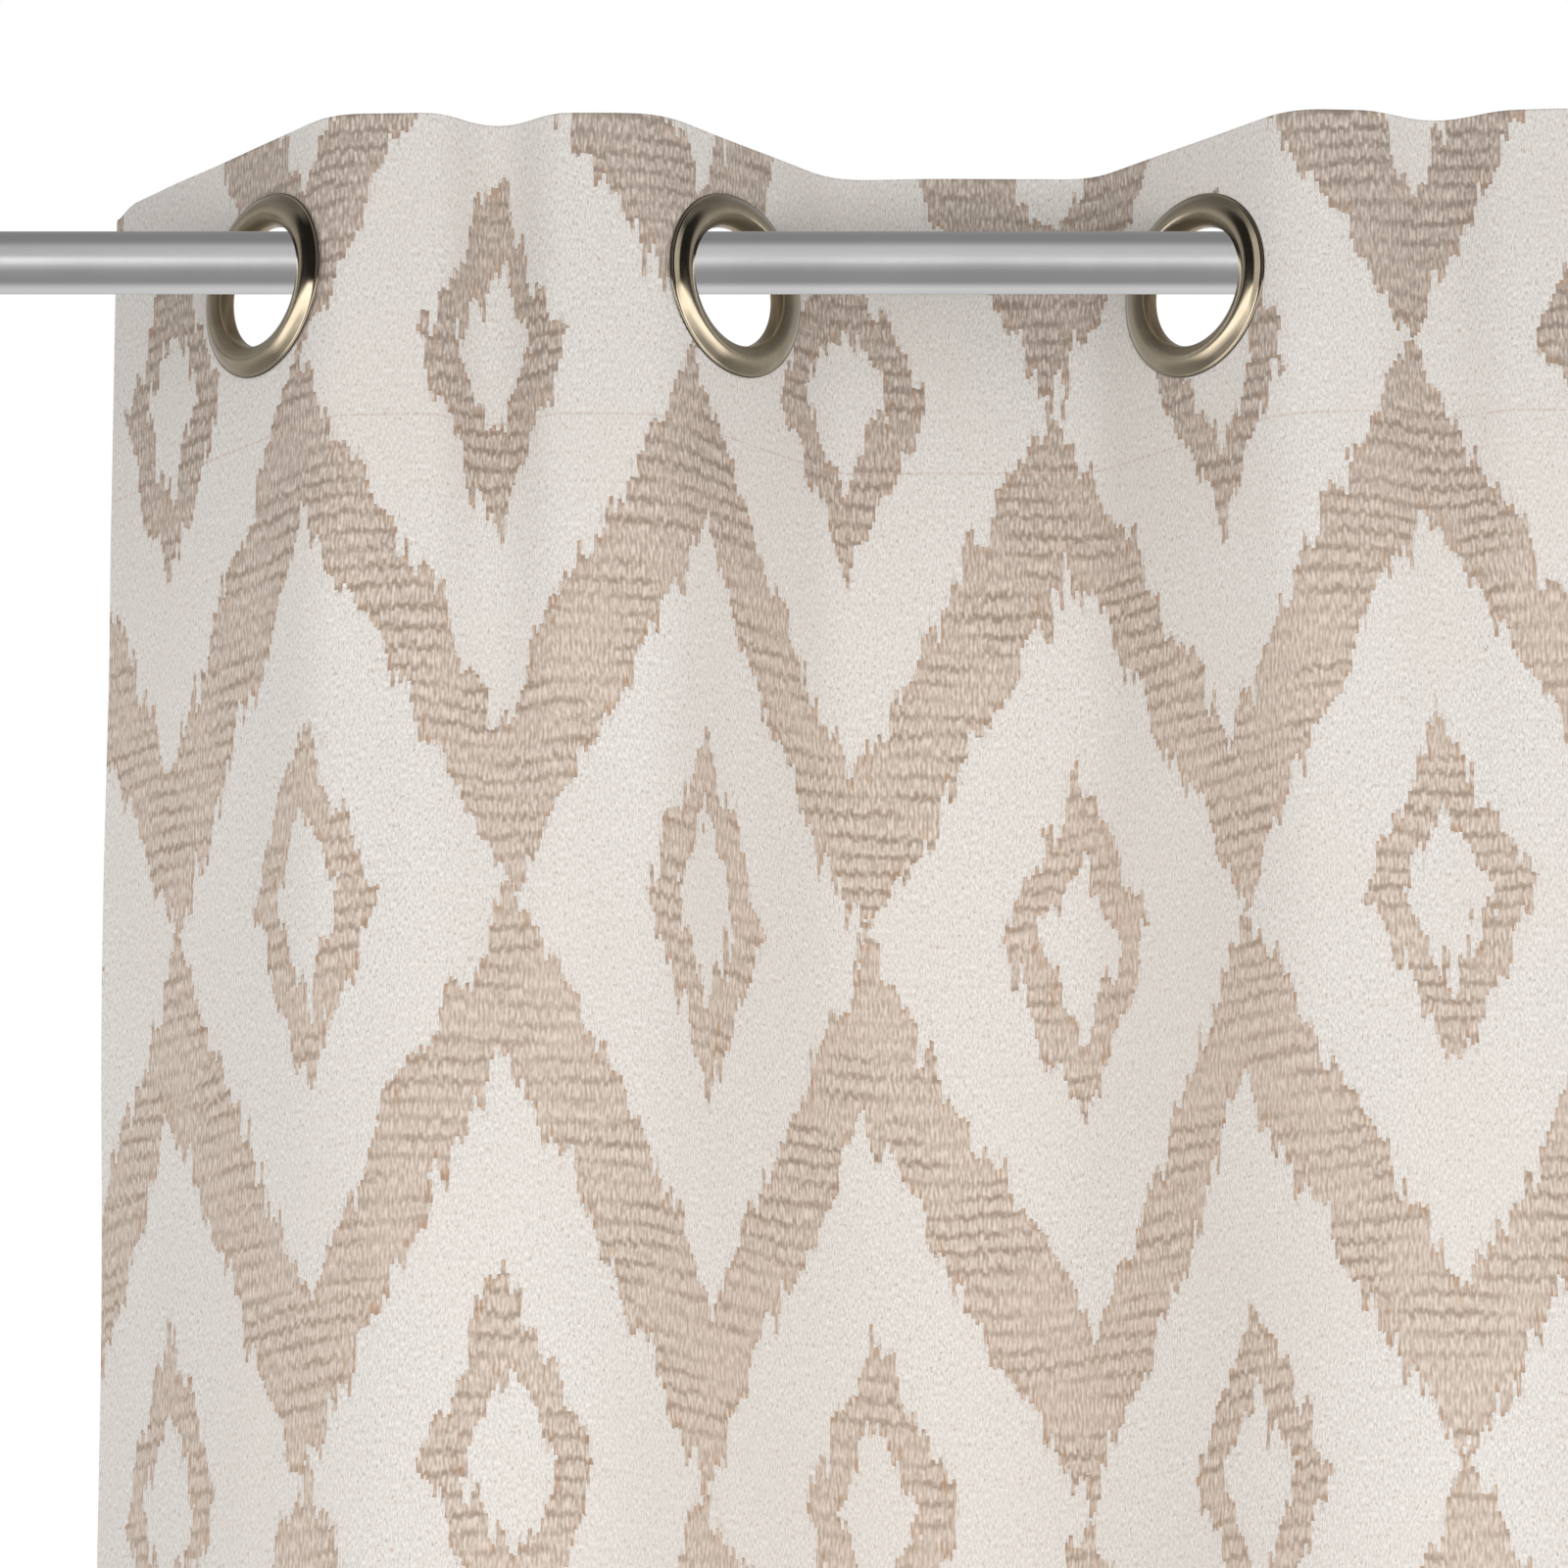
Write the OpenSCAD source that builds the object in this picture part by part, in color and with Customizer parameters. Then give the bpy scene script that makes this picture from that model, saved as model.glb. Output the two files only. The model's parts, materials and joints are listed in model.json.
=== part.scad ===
// Eyelet curtain on a wall-mounted curtain rod.
// X runs along the rod, +Y points into the wall, -Y into the room and +Z is up.
// The origin is the centre of the four wall-screw holes, on the face of the wall.
// The cloth is split at its folds into eight panels, one to each eyelet.
// They turn on the fold lines as the curtain is drawn along the rod.

/* [Rod] */
// Diameter of the rod tube
rod_d = 20; // [16:0.5:20]
// Wall thickness of the rod tube
rod_wall = 1; // [0.8:0.1:2]
// Length of the rod tube
rod_len = 1400; // [1400:10:1600]
// Distance from the wall's face to the rod's axis
projection = 110; // [105:1:150]

/* [Finials] */
// Diameter of the end cap
finial_d = 27; // [24:1:34]
// Length of the end cap
finial_len = 38; // [30:1:60]
// Length of the spigot that pushes into the tube
spigot_len = 28; // [15:1:40]

/* [Brackets] */
// Distance from the rod's end to the middle of a bracket
bracket_inset = 114; // [100:1:130]
// Width of the wall plate
plate_w = 32; // [28:1:40]
// Thickness of the wall plate
plate_t = 5; // [4:0.5:8]
// Distance between the two wall screws of a bracket
screw_spacing = 50; // [46:1:60]
// Diameter of a wall-screw hole
screw_hole_d = 5; // [4:0.5:6]
// Diameter of the bracket arm
arm_d = 12; // [10:0.5:14]
// Width of the cradle along the rod
cradle_w = 16; // [12:1:18]

/* [Eyelets] */
// Diameter of the hole through an eyelet
hole_d = 39; // [39:0.5:42]
// Outer diameter of an eyelet's flange
flange_d = 60; // [58:1:64]
// Height of the front flange's crown above the cloth
crown = 3.8; // [3:0.1:5]
// Height of the back flange's crown behind the cloth
back_crown = 2.6; // [2:0.1:4]

/* [Curtain] */
// Distance between neighbouring eyelets along the rod
pitch = 148; // [146:1:152]
// Distance from the rod's line to a fold line
fold_depth = 33; // [32:0.5:36]
// Length of the curtain from its top edge to its lower hem
drop = 2600; // [1600:10:2800]
// Height of the top edge above the rod's axis
top_rise = 40.5; // [39:0.5:44]
// Thickness of the cloth at its doubled heading
cloth_t = 2.4; // [2.2:0.1:3]
// Depth of the heading tape sewn into the top hem
tape_h = 90; // [80:1:100]
// Width of the cloth from an outer eyelet's centre to its side edge
edge_w = 82.5; // [78:0.5:88]

/* [Hidden] */
EYELETS = 8;

steel = [0.70, 0.70, 0.71];
nickel = [0.58, 0.52, 0.44];
linen = [0.87, 0.84, 0.79];
stiffener = [0.93, 0.93, 0.91];

// Clearance between pieces that are pushed together
slip = 0.08;
// Places along the rod
bracket_x = rod_len / 2 - bracket_inset;
eyelet_beyond_bracket = 34;
last_eyelet_x = bracket_x + eyelet_beyond_bracket;
first_eyelet_x = last_eyelet_x - (EYELETS - 1) * pitch;

// Angle between each eyelet and the rod, from the first to the last
ring_yaw = [50, 47, 46, 49, 47, 50, 46, 48];
// Angle at which the two side edges of the cloth end
edge_yaw = 49;
// Radius of the cloth's bends, and the flat steps that each is made of
bend_r = 14;
bend_steps = 6;
// Distance along the outer flank to the slight bend of a side edge
edge_bend = 36;
// Round bead along each fold line, and the gap that its neighbour keeps from it
bead_r = 2;
fold_gap = 3.2;

// How far an eyelet's centre hangs below the rod's axis
ring_drop = 8;
barrel_t = 1.2;
// The cloth's hole clears the eyelet's barrel
cloth_hole_r = hole_d / 2 + barrel_t + 0.6;
// The pocket in the top hem that holds the heading tape
tape_t = 1;
pocket_t = tape_t + 2 * slip;
pocket_inset = 6;

// The arm's socket in the wall plate: how far its floor and its rim stand from the wall
socket_floor = plate_t - 2;
socket_rise = 4;
cradle_r = rod_d / 2 + 4;
boss_y = cradle_r + 3;
thumb_r = 4.5;
thumb_screw_r = 2;

function eyelet_x(i) = first_eyelet_x + (i - 1) * pitch;

// One half of a panel's plan path as [x, y, heading], outward from the eyelet:
// straight at angle psi as far as a bend of radius r, then straight at angle phi
function half_path(psi, phi, corner_at, r, beyond) =
  let (
    bend = psi < phi ? -r : r,
    corner = corner_at * [cos(psi), sin(psi)],
    tangent = bend * tan((psi - phi) / 2),
    start = corner - tangent * [cos(psi), sin(psi)],
    centre = start + bend * [sin(psi), -cos(psi)]
  )
  concat(
    [for (i = [0 : bend_steps])
      let (a = psi + (phi - psi) * i / bend_steps)
      [centre.x - bend * sin(a), centre.y + bend * cos(a), a]],
    [[corner.x + beyond * cos(phi), corner.y + beyond * sin(phi), phi]]
  );

// A half that ends at a fold line, short of it by gap
function fold_half(psi, gap) =
  half_path(psi, 0, fold_depth / sin(psi), bend_r, pitch / 2 - fold_depth / tan(psi) - gap);

// A half that ends at a side edge of the cloth, short of it by gap
function edge_half(psi, gap) =
  half_path(psi, edge_yaw, edge_bend, 5 * bend_r, edge_w - edge_bend - gap);

// The whole path of panel i with +Y towards the wall at its right-hand end
function panel_path(i, left_gap, right_gap) =
  let (
    psi = ring_yaw[i - 1],
    left = i == 1 ? edge_half(psi, left_gap) : fold_half(psi, left_gap),
    right = i == EYELETS ? edge_half(psi, right_gap) : fold_half(psi, right_gap)
  )
  concat(
    [for (j = [len(left) - 1 : -1 : 0]) [-left[j].x, -left[j].y, left[j].z]],
    right
  );

// The outline of a strip of thickness t along a path
function strip(path, t) =
  concat(
    [for (p = path) [p.x - t / 2 * sin(p.z), p.y + t / 2 * cos(p.z)]],
    [for (j = [len(path) - 1 : -1 : 0])
      let (p = path[j])
      [p.x + t / 2 * sin(p.z), p.y - t / 2 * cos(p.z)]]
  );

// Puts a panel's own shapes at eyelet i: every odd panel is the mirror image of an even one
module at_eyelet(i) {
  translate([eyelet_x(i), -projection, 0])
    mirror([0, i % 2, 0])
      children();
}

// Turns a ring's axis from +Z to the normal of the cloth at eyelet i.
// The ring's front, its +Z side, faces the room on every panel.
module on_ring_axis(i) {
  facing = i % 2 == 0 ? 90 : -90;
  at_eyelet(i)
    translate([0, 0, -ring_drop])
      rotate([0, 0, ring_yaw[i - 1]])
        rotate([facing, 0, 0])
          children();
}

module rod() {
  color(steel)
    translate([0, -projection, 0])
      rotate([0, 90, 0])
        difference() {
          cylinder(d = rod_d, h = rod_len, center = true, $fn = 96);
          cylinder(d = rod_d - 2 * rod_wall, h = rod_len + 2, center = true, $fn = 96);
        }
}

// A turned end cap whose spigot points along -X into the tube; x = 0 is the tube's end
module finial() {
  r = finial_d / 2;
  neck = 4;
  edge_r = 2;
  groove = 1.5;
  groove_from_end = 10;
  color(steel)
    rotate([0, 90, 0]) {
      translate([0, 0, -spigot_len])
        cylinder(r = rod_d / 2 - rod_wall - slip, h = spigot_len, $fn = 64);
      cylinder(r = rod_d / 2 + 1, h = neck, $fn = 96);
      translate([0, 0, neck])
        rotate_extrude($fn = 96)
          difference() {
            union() {
              square([r, finial_len - neck - edge_r]);
              square([r - edge_r, finial_len - neck]);
              translate([r - edge_r, finial_len - neck - edge_r])
                circle(r = edge_r, $fn = 32);
            }
            translate([r - groove / 2, finial_len - neck - groove_from_end])
              square([groove, groove]);
          }
    }
}

// A wall plate with round ends, two countersunk holes and a socket for the arm
module bracket_plate() {
  r = plate_w / 2;
  sink = screw_hole_d / 2;
  color(steel)
    rotate([90, 0, 0])
      difference() {
        union() {
          for (side = [-1, 1])
            translate([0, side * screw_spacing / 2, 0])
              cylinder(r = r, h = plate_t, $fn = 96);
          translate([-r, -screw_spacing / 2, 0])
            cube([plate_w, screw_spacing, plate_t]);
          cylinder(d = arm_d + 8, h = plate_t + socket_rise, $fn = 96);
        }
        for (side = [-1, 1])
          translate([0, side * screw_spacing / 2, 0]) {
            translate([0, 0, -1])
              cylinder(d = screw_hole_d, h = plate_t + 2, $fn = 48);
            translate([0, 0, plate_t - sink])
              cylinder(r1 = screw_hole_d / 2, r2 = screw_hole_d, h = sink, $fn = 48);
          }
        translate([0, 0, socket_floor])
          cylinder(r = arm_d / 2 + slip, h = 10, $fn = 64);
      }
}

// A straight round arm from the plate's socket to the boss of the cradle
module bracket_arm() {
  color(steel)
    rotate([90, 0, 0])
      translate([0, 0, socket_floor])
        cylinder(d = arm_d, h = projection - boss_y - socket_floor, $fn = 64);
}

// An open-topped cradle around the rod, with a boss behind it for the arm
// and one below it for the thumb screw
module bracket_cradle() {
  opening = rod_d + 2 * slip;
  color(steel)
    translate([0, -projection, 0])
      difference() {
        union() {
          rotate([0, 90, 0])
            cylinder(r = cradle_r, h = cradle_w, center = true, $fn = 96);
          rotate([-90, 0, 0])
            cylinder(d = arm_d + 2, h = boss_y, $fn = 64);
          translate([0, 0, -cradle_r - 2])
            cylinder(r = thumb_r + 0.5, h = cradle_r, $fn = 64);
        }
        rotate([0, 90, 0])
          cylinder(d = opening, h = 2 * cradle_w, center = true, $fn = 96);
        translate([-cradle_w, -opening / 2, 0])
          cube([2 * cradle_w, opening, 2 * cradle_r]);
        translate([0, 0, -2 * cradle_r])
          cylinder(r = thumb_screw_r + slip, h = 2 * cradle_r, $fn = 48);
      }
}

// A thumb screw that stands up through the cradle to the underside of the rod
module thumb_screw() {
  head_top = -cradle_r - 3;
  head_h = 7;
  knurl_r = 0.7;
  color(steel)
    translate([0, -projection, 0]) {
      translate([0, 0, head_top])
        cylinder(r = thumb_screw_r, h = -head_top - rod_d / 2 - slip, $fn = 48);
      translate([0, 0, head_top - head_h])
        difference() {
          cylinder(r = thumb_r, h = head_h, $fn = 96);
          for (a = [0 : 30 : 330])
            rotate([0, 0, a])
              translate([thumb_r + knurl_r / 2, 0, -1])
                cylinder(r = knurl_r, h = head_h + 2, $fn = 16);
        }
    }
}

module cloth_panel(i) {
  is_last = i == EYELETS;
  left_gap = i == 1 ? 0 : fold_gap;
  outline = panel_path(i, left_gap, 0);
  color(linen)
    difference() {
      at_eyelet(i)
        translate([0, 0, top_rise - drop])
          union() {
            linear_extrude(height = drop)
              polygon(strip(outline, cloth_t));
            if (!is_last)
              translate([pitch / 2, fold_depth, 0])
                cylinder(r = bead_r, h = drop, $fn = 32);
          }
      at_eyelet(i)
        translate([0, 0, top_rise - pocket_inset - tape_h])
          linear_extrude(height = tape_h)
            polygon(strip(panel_path(i, pocket_inset, pocket_inset), pocket_t));
      on_ring_axis(i)
        cylinder(r = cloth_hole_r, h = 4 * cloth_t, center = true, $fn = 96);
    }
}

// The stiff tape inside the top hem
module heading_tape(i) {
  inset = pocket_inset + slip;
  color(stiffener)
    difference() {
      at_eyelet(i)
        translate([0, 0, top_rise - pocket_inset - tape_h + slip])
          linear_extrude(height = tape_h - 2 * slip)
            polygon(strip(panel_path(i, inset, inset), tape_t));
      on_ring_axis(i)
        cylinder(r = cloth_hole_r, h = 4 * cloth_t, center = true, $fn = 96);
    }
}

// A crowned flange between radii r1 and r2: an arc that stands h above the axis of the profile
module crown_profile(r1, r2, h) {
  half = (r2 - r1) / 2;
  arc_r = (half * half + h * h) / (2 * h);
  intersection() {
    translate([r1 + half, h - arc_r])
      circle(r = arc_r, $fn = 96);
    translate([r1, 0])
      square([r2 - r1, h + 1]);
  }
}

// The front half: a crowned flange with the barrel that passes through the cloth
module eyelet_front(i) {
  r = hole_d / 2;
  rim = 0.6;
  color(nickel)
    on_ring_axis(i)
      rotate_extrude($fn = 128) {
        translate([0, cloth_t / 2 + rim])
          crown_profile(r, flange_d / 2, crown - rim);
        translate([r, cloth_t / 2])
          square([flange_d / 2 - r, rim]);
        translate([r, -cloth_t / 2 - rim])
          square([barrel_t, cloth_t + 2 * rim]);
      }
}

// The back half: a lower crowned washer that snaps onto the barrel
module eyelet_back(i) {
  r = hole_d / 2 + barrel_t + slip;
  rim = 0.6;
  color(nickel)
    on_ring_axis(i)
      mirror([0, 0, 1])
        rotate_extrude($fn = 128) {
          translate([0, cloth_t / 2 + rim])
            crown_profile(r, flange_d / 2, back_crown - rim);
          translate([r, cloth_t / 2])
            square([flange_d / 2 - r, rim]);
        }
}

module at_bracket(side) {
  translate([side * bracket_x, 0, 0])
    children();
}

module at_rod_end(side) {
  translate([side * rod_len / 2, -projection, 0])
    mirror([side < 0 ? 1 : 0, 0, 0])
      children();
}

rod();
at_rod_end(-1) finial();  // finial_left
at_rod_end(1) finial();  // finial_right
at_bracket(-1) bracket_plate();  // bracket_plate_left
at_bracket(1) bracket_plate();  // bracket_plate_right
at_bracket(-1) bracket_arm();  // bracket_arm_left
at_bracket(1) bracket_arm();  // bracket_arm_right
at_bracket(-1) bracket_cradle();  // bracket_cradle_left
at_bracket(1) bracket_cradle();  // bracket_cradle_right
at_bracket(-1) thumb_screw();  // thumb_screw_left
at_bracket(1) thumb_screw();  // thumb_screw_right
for (i = [1 : EYELETS]) {
  cloth_panel(i);
  heading_tape(i);
  eyelet_front(i);
  eyelet_back(i);
}
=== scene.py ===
"""The looks of an eyelet curtain on a wall-mounted rod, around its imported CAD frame.

X runs along the rod, -Y is the room's side and +Z is up. The cloth is one surface, P(u, v), where u
runs across the flat cloth from its left edge and v down from its top edge. It is cut at the eyelets
into strips: each strip crosses one fold line and bends with it.
"""

import json
import math

import bmesh
import bpy
import numpy as np
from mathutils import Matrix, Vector

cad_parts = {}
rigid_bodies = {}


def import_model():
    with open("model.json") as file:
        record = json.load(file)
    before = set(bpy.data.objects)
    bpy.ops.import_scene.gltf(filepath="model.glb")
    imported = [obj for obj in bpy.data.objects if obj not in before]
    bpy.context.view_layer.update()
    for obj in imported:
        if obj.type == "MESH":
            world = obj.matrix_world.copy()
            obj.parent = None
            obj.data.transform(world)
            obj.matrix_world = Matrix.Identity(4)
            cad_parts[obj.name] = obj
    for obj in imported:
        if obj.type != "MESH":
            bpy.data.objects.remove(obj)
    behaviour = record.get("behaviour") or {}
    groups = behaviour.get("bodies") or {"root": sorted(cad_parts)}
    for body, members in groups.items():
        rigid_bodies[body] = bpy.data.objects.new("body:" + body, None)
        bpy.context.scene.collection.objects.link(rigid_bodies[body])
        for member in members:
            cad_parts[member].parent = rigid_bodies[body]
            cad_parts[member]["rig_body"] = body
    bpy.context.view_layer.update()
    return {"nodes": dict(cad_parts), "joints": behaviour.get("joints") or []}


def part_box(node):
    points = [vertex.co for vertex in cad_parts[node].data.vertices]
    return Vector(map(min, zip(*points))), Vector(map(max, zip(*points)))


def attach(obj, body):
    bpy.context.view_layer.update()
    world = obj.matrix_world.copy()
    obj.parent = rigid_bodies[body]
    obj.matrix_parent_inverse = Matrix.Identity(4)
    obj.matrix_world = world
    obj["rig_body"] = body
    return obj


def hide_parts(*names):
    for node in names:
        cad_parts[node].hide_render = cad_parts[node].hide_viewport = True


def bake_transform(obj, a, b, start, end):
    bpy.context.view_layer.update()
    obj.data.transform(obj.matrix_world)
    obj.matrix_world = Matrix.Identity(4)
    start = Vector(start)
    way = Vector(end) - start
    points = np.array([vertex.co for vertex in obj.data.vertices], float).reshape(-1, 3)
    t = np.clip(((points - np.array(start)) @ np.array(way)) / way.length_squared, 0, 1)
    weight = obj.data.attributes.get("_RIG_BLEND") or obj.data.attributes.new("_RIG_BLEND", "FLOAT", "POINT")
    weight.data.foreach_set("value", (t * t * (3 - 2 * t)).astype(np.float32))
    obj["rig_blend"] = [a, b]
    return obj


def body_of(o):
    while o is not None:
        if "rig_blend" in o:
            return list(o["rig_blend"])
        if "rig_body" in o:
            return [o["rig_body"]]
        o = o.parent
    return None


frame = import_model()

MM = 0.001
JOINTS = {joint["name"]: joint for joint in frame["joints"]}
EYELETS = 8


def eyelet_places():
    """X of every eyelet: the last from its joint, the others mirrored in the fold lines."""
    places = [JOINTS["curtain_draw"]["pos_m"][0]]
    for i in range(EYELETS - 1, 0, -1):
        fold_x = JOINTS[f"fold_{i}_{i + 1}"]["pos_m"][0]
        places.insert(0, 2 * fold_x - places[0])
    return places


EYELET_X = eyelet_places()
ROD_Y = JOINTS["curtain_draw"]["pos_m"][1]
RING_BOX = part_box("eyelet_front_1")
RING_Z = (RING_BOX[0][2] + RING_BOX[1][2]) / 2
CLOTH_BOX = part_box("cloth_panel_1")
TOP_Z = CLOTH_BOX[1][2]
DROP = TOP_Z - CLOTH_BOX[0][2]

# The flat cloth
SPACING = 175 * MM  # between eyelets
EDGE = 82.5 * MM  # from an outer eyelet to the side edge
WIDTH = (EYELETS - 1) * SPACING + 2 * EDGE
EYELET_U = [EDGE + i * SPACING for i in range(EYELETS)]
EYELET_V = TOP_Z - RING_Z
TOP_HEM = 100 * MM
BOTTOM_HEM = 80 * MM
SIDE_HEM = 20 * MM
HALF_CLOTH = 0.4 * MM
HEADING_OFFSET = 0.8 * MM  # of each layer from the middle of the heading
LOWER_OFFSET = 0.43 * MM  # the same, in the lower hem
HOLE_R = 21.4 * MM


# ---------------------------------------------------------------- camera and light

CAMERA_DISTANCE = 2.4
CAMERA_PITCH = math.radians(16)
LENS = 176.7
SENSOR_WIDTH = 36
AIM_RIGHT = 164.5 * MM  # of the first eyelet
AIM_DOWN = 172.4 * MM  # from the rod's axis


def make_camera():
    data = bpy.data.cameras.new("camera")
    data.lens = LENS
    data.sensor_width = SENSOR_WIDTH
    data.clip_start, data.clip_end = 0.05, 50
    camera = bpy.data.objects.new("camera", data)
    bpy.context.collection.objects.link(camera)
    aim = Vector((EYELET_X[0] + AIM_RIGHT, ROD_Y, -AIM_DOWN))
    back = Vector((0, -math.cos(CAMERA_PITCH), -math.sin(CAMERA_PITCH)))
    camera.location = aim + back * CAMERA_DISTANCE
    camera.rotation_euler = (math.pi / 2 + CAMERA_PITCH, 0, 0)
    bpy.context.scene.camera = camera


def area_light(name, place, target, size, power):
    data = bpy.data.lights.new(name, "AREA")
    data.shape = "RECTANGLE"
    data.size, data.size_y = size
    data.energy = power
    light = bpy.data.objects.new(name, data)
    light.location = place
    direction = Vector(target) - Vector(place)
    light.rotation_euler = direction.to_track_quat("-Z", "Y").to_euler()
    light.visible_camera = False
    light.visible_glossy = False
    bpy.context.collection.objects.link(light)


# Brightness of what a glossy surface sees, by how far up (1) or down (-1) it looks
FRONT_BANDS = [
    (-1, 0.42), (-0.83, 0.41), (-0.55, 0.49), (-0.15, 0.88), (0.2, 0.93), (0.6, 0.85), (0.97, 0.34),
]
BEHIND_BANDS = [(-1, 0.42), (-0.93, 0.8), (-0.8, 0.98), (-0.3, 0.85), (0.3, 0.36), (1, 0.34)]
STREAK_BANDS = [
    (-1, 0.4), (-0.75, 0.5), (-0.5, 1.2), (-0.3, 2.3), (-0.03, 2.6), (0.06, 0.02), (0.8, 0.02), (1, 0.3),
]
FLANK_BANDS = [(-1, 0.25), (-0.5, 0.36), (-0.1, 0.56), (0.2, 0.52), (0.6, 0.35), (1, 0.2)]
SOFT_LIGHT = 0.77  # on matt surfaces, level with the object
SOFT_TILT = 0.15  # how much less of it comes from straight above


def make_world():
    """A studio: white behind the object, soft even light on it, and bright and dark bands in its gloss."""
    world = bpy.data.worlds.new("studio")
    bpy.context.scene.world = world
    world.use_nodes = True
    tree = world.node_tree
    tree.nodes.clear()
    place = Value(tree, tree.nodes.new("ShaderNodeTexCoord").outputs["Generated"])
    x, y, z = place.split()
    side = ramp_between(abs_value(x), 0.12, 0.19)
    far = ramp_between(y, -0.32, -0.06) * side
    lift = z.clip(-1, 1)
    front = curve(lift, FRONT_BANDS)
    behind = curve(lift, BEHIND_BANDS)
    ahead = ramp_between(y, 0.15, -0.15)
    middle = behind + (front - behind) * ahead
    streak = curve(lift, STREAK_BANDS)
    flank = curve(lift, FLANK_BANDS)
    gloss = middle + (streak - middle) * side
    gloss = gloss + (flank - gloss) * far
    path = tree.nodes.new("ShaderNodeLightPath")
    is_camera = Value(tree, path.outputs["Is Camera Ray"])
    is_gloss = Value(tree, path.outputs["Is Glossy Ray"])
    soft = SOFT_LIGHT - z * SOFT_TILT
    strength = soft + (gloss - soft) * is_gloss
    strength = strength + (1 - strength) * is_camera
    background = tree.nodes.new("ShaderNodeBackground")
    background.inputs["Color"].default_value = (1, 1, 1, 1)
    tree.links.new(strength.socket, background.inputs["Strength"])
    output = tree.nodes.new("ShaderNodeOutputWorld")
    tree.links.new(background.outputs[0], output.inputs[0])


FLOOR_GAP = 15 * MM  # below the lower hem
FLOOR_REACH = 40


def make_floor():
    z = TOP_Z - DROP - FLOOR_GAP
    corners = [(x * FLOOR_REACH, y * FLOOR_REACH, z) for x, y in ((-1, -1), (1, -1), (1, 1), (-1, 1))]
    mesh = bpy.data.meshes.new("floor")
    mesh.from_pydata(corners, [], [(0, 1, 2, 3)])
    floor = bpy.data.objects.new("floor", mesh)
    bpy.context.collection.objects.link(floor)
    material, shader, _ = new_material("floor")
    shader.inputs["Base Color"].default_value = (0.88, 0.88, 0.87, 1)
    shader.inputs["Roughness"].default_value = 0.6
    shader.inputs["Emission Color"].default_value = (1, 1, 0.99, 1)
    shader.inputs["Emission Strength"].default_value = 0.22
    mesh.materials.append(material)
    floor.visible_glossy = False


# ---------------------------------------------------------------- shader arithmetic


class Value:
    """A number or vector in a shader. Arithmetic on it adds Math nodes."""

    def __init__(self, tree, socket):
        self.tree, self.socket = tree, socket

    def op(self, name, *others):
        node = self.tree.nodes.new("ShaderNodeMath")
        node.operation = name
        for slot, item in zip(node.inputs, (self, *others)):
            if isinstance(item, Value):
                self.tree.links.new(item.socket, slot)
            else:
                slot.default_value = item
        return Value(self.tree, node.outputs[0])

    def __add__(self, other):
        return self.op("ADD", other)

    def __radd__(self, other):
        return self.op("ADD", other)

    def __sub__(self, other):
        return self.op("SUBTRACT", other)

    def __rsub__(self, other):
        return (self * -1).op("ADD", other)

    def __mul__(self, other):
        return self.op("MULTIPLY", other)

    def __rmul__(self, other):
        return self.op("MULTIPLY", other)

    def __truediv__(self, other):
        return self.op("DIVIDE", other)

    def below(self, limit):
        return self.op("LESS_THAN", limit)

    def least(self, other):
        return self.op("MINIMUM", other)

    def most(self, other):
        return self.op("MAXIMUM", other)

    def clip(self, low=0, high=1):
        return self.most(low).least(high)

    def split(self):
        node = self.tree.nodes.new("ShaderNodeSeparateXYZ")
        self.tree.links.new(self.socket, node.inputs[0])
        return [Value(self.tree, out) for out in node.outputs]


def abs_value(value):
    return value.op("ABSOLUTE")


def ramp_between(value, start, end):
    """0 at start, 1 at end, eased."""
    node = value.tree.nodes.new("ShaderNodeMapRange")
    node.interpolation_type = "SMOOTHSTEP"
    node.inputs["From Min"].default_value = min(start, end)
    node.inputs["From Max"].default_value = max(start, end)
    node.inputs["To Min"].default_value = 0 if start < end else 1
    node.inputs["To Max"].default_value = 1 if start < end else 0
    value.tree.links.new(value.socket, node.inputs["Value"])
    return Value(value.tree, node.outputs["Result"])


def curve(value, points):
    """A smooth curve through (input, output) points, with inputs from -1 to 1."""
    node = value.tree.nodes.new("ShaderNodeValToRGB")
    node.color_ramp.interpolation = "EASE"
    elements = node.color_ramp.elements
    while len(elements) < len(points):
        elements.new(0.5)
    for element, (place, _) in zip(elements, points):
        element.position = (place + 1) / 2
    for element, (_, level) in zip(elements, points):
        element.color = (level, level, level, 1)
    value.tree.links.new((value * 0.5 + 0.5).socket, node.inputs[0])
    return Value(value.tree, node.outputs[0])


def noise(x, y, detail=0.0, seed=0.0):
    """Smooth noise from 0 to 1 with a unit cell, whatever x and y were divided by."""
    tree = x.tree
    join = tree.nodes.new("ShaderNodeCombineXYZ")
    tree.links.new(x.socket, join.inputs[0])
    tree.links.new(y.socket, join.inputs[1])
    join.inputs[2].default_value = seed
    node = tree.nodes.new("ShaderNodeTexNoise")
    node.inputs["Scale"].default_value = 1
    node.inputs["Detail"].default_value = detail
    tree.links.new(join.outputs[0], node.inputs["Vector"])
    return Value(tree, node.outputs[0])


def mix(factor, first, second):
    """A colour between two others, each a tuple or an earlier mix."""
    tree = factor.tree
    node = tree.nodes.new("ShaderNodeMix")
    node.data_type = "RGBA"
    tree.links.new(factor.socket, node.inputs["Factor"])
    for item, slot in ((first, node.inputs[6]), (second, node.inputs[7])):
        if isinstance(item, Value):
            tree.links.new(item.socket, slot)
        else:
            slot.default_value = (*item, 1)
    return Value(tree, node.outputs[2])


def new_material(name):
    material = bpy.data.materials.new(name)
    material.use_nodes = True
    tree = material.node_tree
    return material, tree.nodes["Principled BSDF"], tree


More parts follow.
